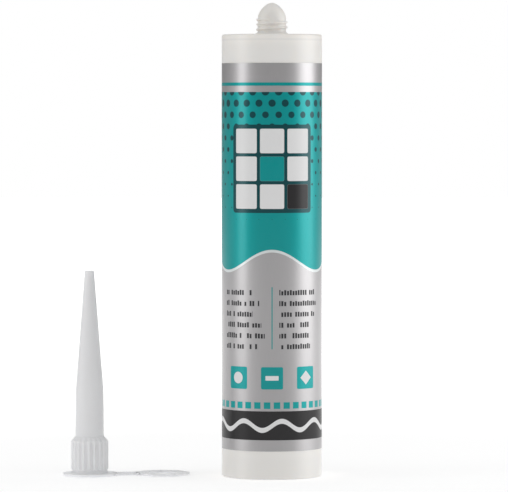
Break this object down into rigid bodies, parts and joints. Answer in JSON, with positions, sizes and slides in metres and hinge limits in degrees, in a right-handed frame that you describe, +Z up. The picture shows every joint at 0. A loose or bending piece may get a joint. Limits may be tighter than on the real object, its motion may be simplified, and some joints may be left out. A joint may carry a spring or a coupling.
{
  "type": "caulk tube",
  "caption": "Straight sealant cartridge with raised front rim, threaded neck with closed tip, wrap label and sliding piston; its tapered nozzle with hang ring stands beside it.",
  "frame": {"origin": "centre of the barrel's rear rim, on the barrel's axis and on the surface it stands on", "axes": "+Z up the barrel to the neck; the label's front faces -Y; +X to the right seen from the front, and the nozzle stands towards -X"},
  "size_m": [0.1266, 0.049, 0.2305],
  "materials": {
    "barrel_plastic": "satin, slightly translucent natural white polyethylene",
    "label_print": "satin metallic silver film with teal, black and white print fields",
    "piston_plastic": "satin moulded polyethylene",
    "sealant_paste": "smooth glossy paste",
    "nozzle_plastic": "satin, frosted translucent polyethylene"
  },
  "bodies": {
    "cartridge": {"cartridge_barrel": "barrel_plastic", "label_film": "label_print", "sealant": "sealant_paste", "nozzle": "nozzle_plastic"},
    "plunger": {"piston": "piston_plastic"}
  },
  "joints": [
    {"name": "plunger_slide", "type": "slide", "parent": "cartridge", "child": "plunger", "axis": [0, 0, 1], "range_m": [0, 0.181], "deforming": ["sealant"]}
  ]
}
